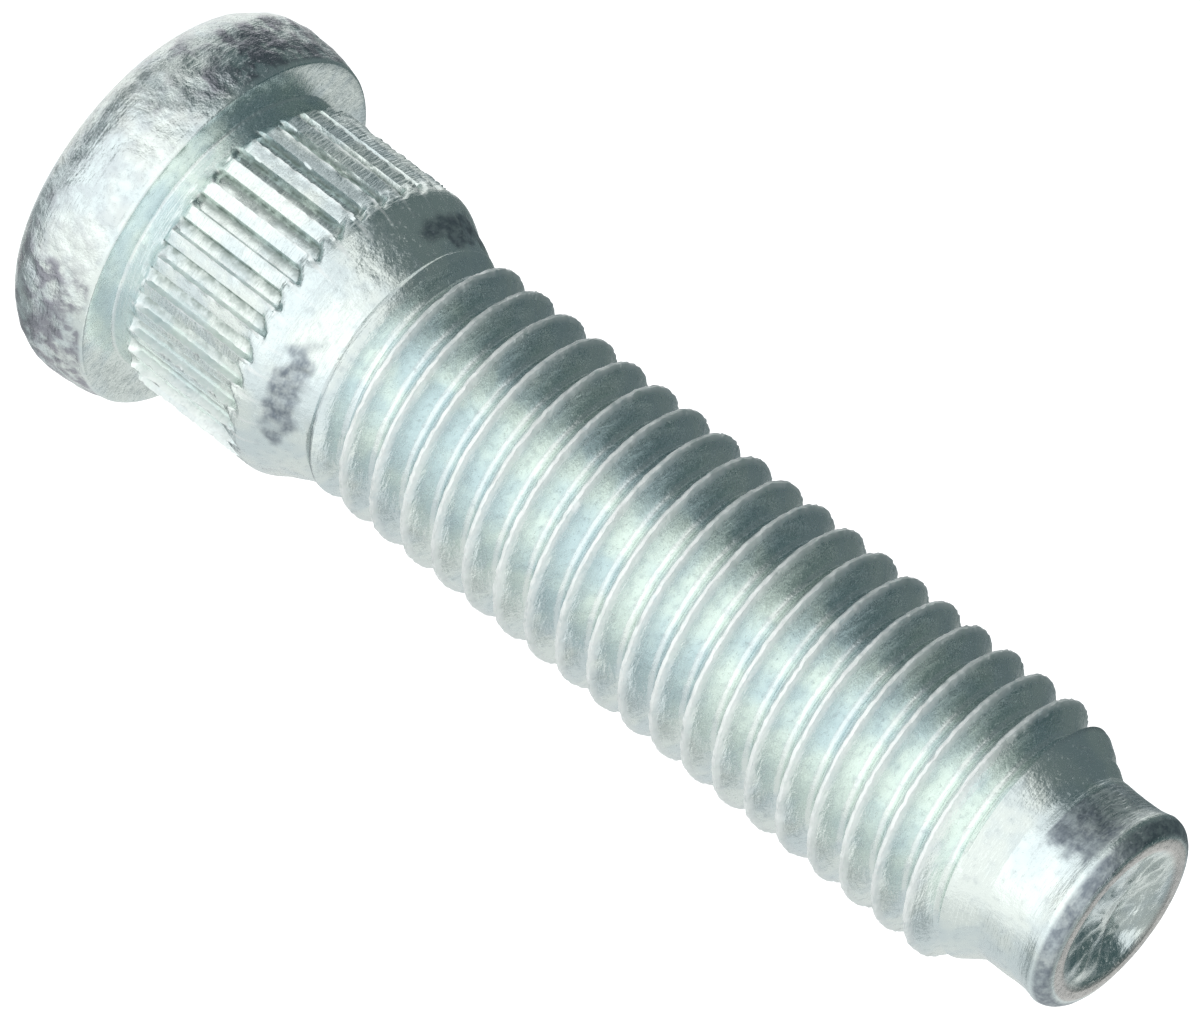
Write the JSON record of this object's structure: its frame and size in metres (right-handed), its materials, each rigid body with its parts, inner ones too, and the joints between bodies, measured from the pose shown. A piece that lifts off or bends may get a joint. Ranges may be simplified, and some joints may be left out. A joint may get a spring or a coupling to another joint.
{
  "type": "wheel stud",
  "caption": "Press-in stud with a round barrelled head, a splined shank, a long rolled right-hand thread and a dished dog point, in bright zinc plate.",
  "frame": {"origin": "centre of the head's flat top, on which the stud stands", "axes": "+Z along the stud's axis, from the head to the dog point; +X and +Y are any two directions across it"},
  "size_m": [0.0206, 0.0206, 0.0627],
  "materials": {
    "zinc_plated_steel": "bright zinc plate over forged and rolled steel, slightly mottled, greenish-white sheen"
  },
  "bodies": {
    "root": {"wheel_stud": "zinc_plated_steel"}
  },
  "joints": []
}
